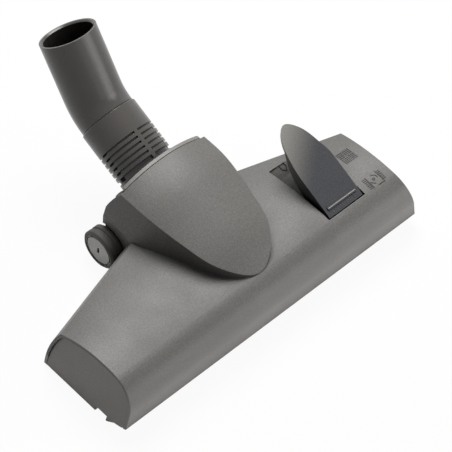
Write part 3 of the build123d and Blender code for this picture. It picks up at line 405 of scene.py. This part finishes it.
class FibreSettings(bpy.types.PropertyGroup):
    tuft_pitch: FloatProperty(
        name="Tuft pitch", description="Distance between tufts", default=3.0 * MM, unit="LENGTH")
    tuft_fibres: IntProperty(
        name="Fibres", description="Bristles in each tuft", default=26, min=4, max=60)
    fibre_width: FloatProperty(
        name="Bristle width", description="Thickness of a bristle", default=0.22 * MM, unit="LENGTH")
    root_colour: StringProperty(
        name="Root colour", description="Bristles at the carrier, sRGB hex", default="#141414")
    tip_colour: StringProperty(
        name="Tip colour", description="Bristle tips, sRGB hex", default="#4a4a48")
    pile_colour: StringProperty(
        name="Pile colour", description="Foot of the pile, sRGB hex", default="#4d1016")
    pile_tip_colour: StringProperty(
        name="Pile tip colour", description="Tips of the pile, sRGB hex", default="#8e2a2f")
    backing_colour: StringProperty(
        name="Backing colour", description="Backing of the pile, sRGB hex", default="#3a1418")


class SignSettings(bpy.types.PropertyGroup):
    stroke: FloatProperty(
        name="Stroke", description="Width of a raised line", default=0.6 * MM, unit="LENGTH")
    rise: FloatProperty(
        name="Rise", description="Height of a raised line", default=0.3 * MM, unit="LENGTH")
    # Painted shade: the near-black colour of the raised lines stands for the shade along their sides.
    sign_shade_colour: StringProperty(
        name="Sign colour", description="Raised lines, sRGB hex", default="#171615")


class StudioSettings(bpy.types.PropertyGroup):
    floor_colour: FloatVectorProperty(
        name="Floor colour", description="Colour of the floor", subtype="COLOR", size=3,
        default=(0.86, 0.86, 0.86), min=0.0, max=1.0)
    key_power: FloatProperty(
        name="Key power", description="Power of the overhead light", default=21.0, unit="POWER")
    side_power: FloatProperty(
        name="Side power", description="Power of the light at the +X end", default=0.4, unit="POWER")
    front_power: FloatProperty(
        name="Front power", description="Power of the light in front, to the right", default=6.4,
        unit="POWER")
    low_power: FloatProperty(
        name="Low power", description="Power of the light low in front", default=1.5, unit="POWER")
    light_size: FloatProperty(
        name="Light size", description="Edge of each light panel", default=0.8, unit="LENGTH")
    world_strength: FloatProperty(
        name="World strength", description="Strength of the sky light", default=0.01)


class HEAD_OT_plastics(bpy.types.Operator):
    """Gives the moulded pieces their plastics"""
    bl_idname = "floorhead.plastics"
    bl_label = "Dress the plastics"

    def execute(self, context):
        s = context.scene.plastic_settings
        # Grained ABS: matt, with a fine sparkle. The front wall is painted paler: a painted light for the
        # light it gets from the front.
        front_light_fade = ((0.0, -1.0, 0.0), 38.0, 47.5, s.front_light_colour)
        shell = moulded_plastic("grained_abs_shell", s.shell_colour, rough=0.5, grain_mm=s.grain,
                                depth_mm=s.grain_depth, edge_mm=0.5, mottle=0.24, reach_mm=30.0,
                                darkest=0.04, fade=front_light_fade)
        dress(shell, "top_housing")
        joint = moulded_plastic("grained_abs_joint", s.joint_colour, rough=0.45, grain_mm=s.grain,
                                depth_mm=s.grain_depth, edge_mm=0.5, reach_mm=7.0, darkest=0.08)
        dress(joint, "joint_housing")
        # The wheels are the cover's grey plastic painted paler: a painted light for their shaded outer
        # faces.
        wheel = moulded_plastic("grained_abs_wheel", s.wheel_colour, rough=0.5, grain_mm=s.grain,
                                depth_mm=s.grain_depth, edge_mm=0.3)
        dress(wheel, "left_wheel", "right_wheel")
        # The pedal is painted pale towards its tip: a painted highlight for the light its upturned tip
        # catches.
        painted_light = ((-0.8, 1.0, 0.0), -66.0, -24.0, s.pedal_tip_highlight_colour)
        pedal = moulded_plastic("grained_abs_pedal", s.pedal_colour, rough=0.36, grain_mm=s.grain,
                                depth_mm=s.grain_depth, edge_mm=0.35, mottle=0.3, reach_mm=30.0,
                                darkest=0.06, fade=painted_light)
        dress(pedal, "pedal")
        # Satin ABS from a blasted mould: even and a little soft.
        base = moulded_plastic("satin_abs_base", s.base_colour, rough=0.42, grain_mm=0.8, depth_mm=0.02,
                               edge_mm=0.4, reach_mm=11.0, darkest=0.04)
        dress(base, "base_housing")
        # Satin polypropylene: smooth enough for a long highlight down the tube.
        neck = moulded_plastic("satin_pp_neck", s.neck_colour, rough=0.27, grain_mm=0.5, depth_mm=0.012,
                               edge_mm=0.25, mottle=0.08, reach_mm=40.0, darkest=0.05)
        dress(neck, "ribbed_collar", "bent_tube")
        # Plain acetal of the running parts: dark, with hardly any grain.
        inner = moulded_plastic("plain_pom_inner", s.inner_colour, rough=0.38, grain_mm=0.6, depth_mm=0.01,
                                edge_mm=0.2, mottle=0.04)
        dress(inner, "swivel_elbow", "retaining_ring", "brush_frame", "suction_duct")
        return {"FINISHED"}


class HEAD_OT_rubbers(bpy.types.Operator):
    """Gives tyres and seals their rubber"""
    bl_idname = "floorhead.rubbers"
    bl_label = "Dress the rubbers"

    def execute(self, context):
        s = context.scene.rubber_settings
        rubber = moulded_rubber("moulded_rubber", s.rubber_colour, s.dust_colour)
        dress(rubber, "left_tyre", "right_tyre", "upper_drum_seal", "lower_drum_seal", "swivel_seal")
        return {"FINISHED"}


class HEAD_OT_metals(bpy.types.Operator):
    """Gives sole, pins and screws their steel"""
    bl_idname = "floorhead.metals"
    bl_label = "Dress the metals"

    def execute(self, context):
        s = context.scene.steel_settings
        sole = worked_steel("rolled_steel_sole", s.steel_colour, s.shine_colour, ROLLED_STRETCH)
        dress(sole, "sole_plate")
        pins = worked_steel("drawn_steel_pins", s.steel_colour, s.shine_colour, NO_STRETCH)
        dress(pins, "left_axle", "right_axle", "pedal_pin", "housing_screws")
        return {"FINISHED"}


def fibre_strands(spots, width, uneven, lean, rng):
    """Thin three-sided strands, wide at the top and narrow at the tip."""
    verts, faces = [], []
    for x, y, top, bottom in spots:
        dx, dy = rng.uniform(-lean, lean), rng.uniform(-lean, lean)
        tip = bottom + rng.uniform(0, uneven)
        first = len(verts)
        turn = rng.uniform(0, math.tau)
        rings = ((top, 0.0, width), ((top + tip) / 2, BEND_SHARE, width), (tip, 1.0, width * TIP_WIDTH))
        for z, bend, size in rings:
            for k in range(3):
                a = turn + k * math.tau / 3
                across, along = math.cos(a) * size / 2, math.sin(a) * size / 2
                verts.append((x + dx * bend + across, y + dy * bend + along, z))
        for ring in (first, first + 3):
            for k in range(3):
                n = (k + 1) % 3
                faces.append((ring + k, ring + n, ring + 3 + n, ring + 3 + k))
        faces.append((first + 6, first + 7, first + 8))
        faces.append((first + 2, first + 1, first))
    return verts, faces


class HEAD_OT_bristles(bpy.types.Operator):
    """Puts tufts of bristles in both carriers"""
    bl_idname = "floorhead.bristles"
    bl_label = "Bristle rows"

    def execute(self, context):
        s = context.scene.fibre_settings
        for node in ("front_bristles", "rear_bristles"):
            low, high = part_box(node)
            rng = random.Random(node)
            material = dyed_nylon("nylon_" + node, s.root_colour, s.tip_colour, low[2], high[2])
            length = high[0] - low[0]
            middle = (low[1] + high[1]) / 2
            reach = (high[1] - low[1]) / 2 * TUFT_FILL
            count = int(length / s.tuft_pitch)
            spots = []
            for i in range(count):
                x = low[0] + (i + 0.5) * length / count
                for _ in range(s.tuft_fibres):
                    a, r = rng.uniform(0, math.tau), math.sqrt(rng.random()) * reach
                    spots.append((x + math.cos(a) * r, middle + math.sin(a) * r, high[2], low[2]))
            verts, faces = fibre_strands(spots, s.fibre_width, TUFT_UNEVEN, TUFT_LEAN, rng)
            piece = mesh_object(node + "_tufts", verts, faces, material, "brushes")
            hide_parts(node)
        return {"FINISHED"}


class HEAD_OT_pile(bpy.types.Operator):
    """Covers the thread lifter with short pile"""
    bl_idname = "floorhead.pile"
    bl_label = "Thread lifter pile"

    def execute(self, context):
        s = context.scene.fibre_settings
        low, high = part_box("rear_thread_lifter")
        rng = random.Random(PILE_SEED)
        material = dyed_nylon("velour_pile", s.pile_colour, s.pile_tip_colour, low[2], high[2])
        spots = []
        for i in range(int((high[0] - low[0]) / PILE_PITCH)):
            for j in range(int((high[1] - low[1]) / PILE_PITCH)):
                x = low[0] + (i + rng.random()) * PILE_PITCH
                y = low[1] + (j + rng.random()) * PILE_PITCH
                spots.append((x, y, high[2], low[2]))
        verts, faces = fibre_strands(spots, PILE_WIDTH, PILE_UNEVEN, PILE_LEAN, rng)
        mesh_object("rear_thread_lifter_pile", verts, faces, material, "housing")
        # The woven backing shows between the fibres as a dull, dark red.
        backing = moulded_plastic("pile_backing", s.backing_colour, rough=0.7, grain_mm=0.5, depth_mm=0.02,
                                  edge_mm=0.1)
        dress(backing, "rear_thread_lifter")
        return {"FINISHED"}


def surface(node):
    """A search tree of a CAD node's mesh at rest."""
    mesh = NODES[node].data
    corners = [vertex.co.copy() for vertex in mesh.vertices]
    return BVHTree.FromPolygons(corners, [tuple(face.vertices) for face in mesh.polygons])


def stations_along(path):
    """Evenly spaced places, in metres, along a path of (x, y) points in millimetres."""
    points = [Vector((x * MM, y * MM)) for x, y in path]
    stations = []
    for a, b in zip(points, points[1:]):
        steps = max(1, round((b - a).length / STROKE_STEP))
        stations += [a.lerp(b, i / steps) for i in range(steps)]
    return [*stations, points[-1]]


def strokes(name, node, paths, width, rise, material, body):
    """Raised lines that follow a node's upper face. Each path is a list of (x, y) in millimetres."""
    tree = surface(node)
    verts, faces = [], []
    for path in paths:
        stations = stations_along(path)
        first = len(verts)
        for i, spot in enumerate(stations):
            ahead = stations[min(i + 1, len(stations) - 1)] - stations[max(i - 1, 0)]
            hit, normal, _, _ = tree.ray_cast(Vector((*spot, RAY_TOP)), Vector((0, 0, -1)))
            if hit is None:
                raise RuntimeError(f"{name} leaves {node} at {tuple(spot)}")
            side = normal.cross(Vector((*ahead.normalized(), 0))).normalized()
            for across, height in STROKE_SECTION:
                verts.append(hit + side * across * width + normal * height * rise)
        for k in range(first, len(verts) - 4, 4):
            faces += [(k + n, k + n + 1, k + n + 5, k + n + 4) for n in range(3)]
        last = len(verts) - 4
        faces += [(first + 3, first + 2, first + 1, first), (last, last + 1, last + 2, last + 3)]
    return mesh_object(name, verts, faces, material, body)


def arc_path(centre, radius, first, last, steps=16):
    """A path round a centre, from one angle to another in degrees."""
    angles = [math.radians(first + (last - first) * i / steps) for i in range(steps + 1)]
    return [(centre[0] + radius * math.cos(a), centre[1] + radius * math.sin(a)) for a in angles]


def weave_paths(x, y, block, lines):
    """Four blocks of parallel lines, turned by a quarter from block to block."""
    paths = []
    near, far = WEAVE_GAP, block - WEAVE_GAP
    for i in (-1, 0):
        for j in (-1, 0):
            x0, y0 = x + i * block, y + j * block
            for k in range(lines):
                at = (k + 0.5) * block / lines
                upright = [(x0 + at, y0 + near), (x0 + at, y0 + far)]
                level = [(x0 + near, y0 + at), (x0 + far, y0 + at)]
                paths.append(upright if i == j else level)
    return paths


def comb_paths(x, y, reach, length, teeth):
    """A short brush: a row of teeth along Y beside a spine."""
    spots = [y - length / 2 + length * (k + 0.5) / teeth for k in range(teeth)]
    return [[(x, at), (x + reach, at)] for at in spots] + [[(x, y - length / 2), (x, y + length / 2)]]


class HEAD_OT_signs(bpy.types.Operator):
    """Raises the carpet sign, the hard floor sign and the arrow on the cover"""
    bl_idname = "floorhead.signs"
    bl_label = "Signs"

    def execute(self, context):
        s = context.scene.sign_settings
        # Smooth ABS beside the grain of the cover, with painted shade: the raised lines are coloured near
        # black for the shade along their sides, so that they read dark.
        dark = moulded_plastic("polished_sign_lines", s.sign_shade_colour, rough=0.36, grain_mm=0.5,
                               depth_mm=0.01, edge_mm=0.1)
        signs = {
            "carpet_sign": weave_paths(*CARPET_SIGN, WEAVE_BLOCK, WEAVE_LINES),
            "hard_floor_sign": [
                *comb_paths(**LEFT_COMB),
                *comb_paths(**RIGHT_COMB),
                arc_path(HARD_FLOOR_SIGN, SWIRL_R, *SWIRL_TOP),
                arc_path(HARD_FLOOR_SIGN, SWIRL_R, *SWIRL_FOOT, steps=8),
                arc_path(HARD_FLOOR_SIGN, DOT_R, *DOT_TURN, steps=10),
                FLOOR_LINE,
            ],
            "pedal_arrow": [(*PEDAL_ARROW, PEDAL_ARROW[0])],
        }
        for name, paths in signs.items():
            strokes(name, "top_housing", paths, s.stroke, s.rise, dark, "housing")
        return {"FINISHED"}


class HEAD_OT_grip(bpy.types.Operator):
    """Puts fine grip lines on the pedal's front, and a painted highlight line along the crest of its step
    """
    bl_idname = "floorhead.grip"
    bl_label = "Pedal grip"

    def execute(self, context):
        low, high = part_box("pedal")
        middle = (low[0] + high[0]) / 2 / MM
        front = low[1] / MM
        rows = [front + GRIP_FIRST + k * GRIP_PITCH for k in range(GRIP_LINES)]
        lines = [[(middle - GRIP_HALF, y), (middle + GRIP_HALF, y)] for y in rows]
        material = NODES["pedal"].data.materials[0]
        strokes("pedal_grip", "pedal", lines, GRIP_WIDTH, GRIP_RISE, material, "foot_pedal")
        # A painted highlight: a pale line along the crest of the step stands for the light it catches.
        step_highlight_colour = context.scene.plastic_settings.step_highlight_colour
        crest_highlight = moulded_plastic("shoe_polished_abs_step", step_highlight_colour, rough=0.3, grain_mm=0.5,
                                   depth_mm=0.01, edge_mm=0.1)
        crest = [[(middle - STEP_HALF, STEP_TOP_Y), (middle + STEP_HALF, STEP_TOP_Y)]]
        strokes("pedal_step_crest", "pedal", crest, STEP_WIDTH, STEP_RISE, crest_highlight, "foot_pedal")
        return {"FINISHED"}


class HEAD_OT_studio(bpy.types.Operator):
    """Sets the floor, the lights, the sky and the camera"""
    bl_idname = "floorhead.studio"
    bl_label = "Studio"

    def execute(self, context):
        s = context.scene.studio_settings
        self.floor(s)
        self.lights(s)
        self.world(s)
        self.camera(context.scene)
        context.scene.view_settings.view_transform = "Standard"
        return {"FINISHED"}

    def floor(self, s):
        """Seamless paper: matt, and white to the camera but for the shadow."""
        material, tree = new_material("seamless_paper")
        paper = add(tree, "ShaderNodeBsdfDiffuse", Color=[*s.floor_colour, 1.0])
        white = add(tree, "ShaderNodeEmission", Color=[1, 1, 1, 1], Strength=1.0)
        share = add(tree, "ShaderNodeMath", background_rays(tree), FLOOR_WHITE, operation="MULTIPLY")
        add(tree, "ShaderNodeOutputMaterial", Surface=add(tree, "ShaderNodeMixShader", share, paper, white))
        mesh = bpy.data.meshes.new("floor")
        r = FLOOR_HALF
        mesh.from_pydata([(-r, -r, 0), (r, -r, 0), (r, r, 0), (-r, r, 0)], [], [(0, 1, 2, 3)])
        mesh.materials.append(material)
        floor = bpy.data.objects.new("floor", mesh)
        floor.location.z = -FLOOR_DROP
        bpy.context.scene.collection.objects.link(floor)

    def lights(self, s):
        for name, place in LIGHT_PLACES.items():
            data = bpy.data.lights.new(name, "AREA")
            data.energy = getattr(s, name + "_power")
            data.size = s.light_size
            light = bpy.data.objects.new(name, data)
            light.location = place
            light.rotation_euler = (-Vector(place)).to_track_quat("-Z", "Y").to_euler()
            bpy.context.scene.collection.objects.link(light)

    def world(self, s):
        world = bpy.data.worlds.new("studio_sky")
        world.use_nodes = True
        tree = world.node_tree
        tree.nodes.clear()
        dim = add(tree, "ShaderNodeBackground", Color=[1, 1, 1, 1], Strength=s.world_strength)
        white = add(tree, "ShaderNodeBackground", Color=[1, 1, 1, 1], Strength=1.0)
        sky = add(tree, "ShaderNodeMixShader", background_rays(tree), dim, white)
        add(tree, "ShaderNodeOutputWorld", Surface=sky)
        bpy.context.scene.world = world

    def camera(self, scene):
        a, e, roll = (math.radians(v) for v in (CAMERA_AZIMUTH, CAMERA_ELEVATION, CAMERA_ROLL))
        back = Vector((math.sin(a) * math.cos(e), -math.cos(a) * math.cos(e), math.sin(e)))
        level = (-back).cross(Vector((0, 0, 1))).normalized()
        rise = level.cross(-back)
        right = level * math.cos(roll) + rise * math.sin(roll)
        up = rise * math.cos(roll) - level * math.sin(roll)
        data = bpy.data.cameras.new("photo_camera")
        data.sensor_width = SENSOR_WIDTH
        data.lens = FOCAL_PIXELS * SENSOR_WIDTH / PICTURE_PIXELS
        data.clip_end = CLIP_END
        camera = bpy.data.objects.new("photo_camera", data)
        spot = right * CAMERA_SHIFT[0] + up * CAMERA_SHIFT[1] + back * CAMERA_DISTANCE
        axes = Matrix((right, up, back)).transposed().to_4x4()
        camera.matrix_world = Matrix.Translation(spot * MM) @ axes
        scene.collection.objects.link(camera)
        scene.camera = camera


class HEAD_PT_panel(bpy.types.Panel):
    """Lists the steps in order"""
    bl_idname = "HEAD_PT_panel"
    bl_label = "Floor head"
    bl_space_type = "VIEW_3D"
    bl_region_type = "UI"
    bl_category = "Floor head"

    def draw(self, context):
        for operator in OPERATORS:
            self.layout.operator(operator.bl_idname)
        for name in SETTINGS:
            group = getattr(context.scene, name)
            for key in group.__annotations__:
                self.layout.prop(group, key)


OPERATORS = (
    HEAD_OT_plastics, HEAD_OT_rubbers, HEAD_OT_metals, HEAD_OT_bristles, HEAD_OT_pile, HEAD_OT_signs,
    HEAD_OT_grip, HEAD_OT_studio,
)
SETTINGS = {
    "plastic_settings": PlasticSettings,
    "rubber_settings": RubberSettings,
    "steel_settings": SteelSettings,
    "fibre_settings": FibreSettings,
    "sign_settings": SignSettings,
    "studio_settings": StudioSettings,
}


def register():
    for group in SETTINGS.values():
        bpy.utils.register_class(group)
    for name, group in SETTINGS.items():
        setattr(bpy.types.Scene, name, PointerProperty(type=group))
    for item in (*OPERATORS, HEAD_PT_panel):
        bpy.utils.register_class(item)


def unregister():
    for item in reversed((*OPERATORS, HEAD_PT_panel)):
        bpy.utils.unregister_class(item)
    for name, group in SETTINGS.items():
        delattr(bpy.types.Scene, name)
        bpy.utils.unregister_class(group)


def main():
    register()
    for operator in OPERATORS:
        area, name = operator.bl_idname.split(".")
        getattr(getattr(bpy.ops, area), name)()


if __name__ == "__main__":
    main()
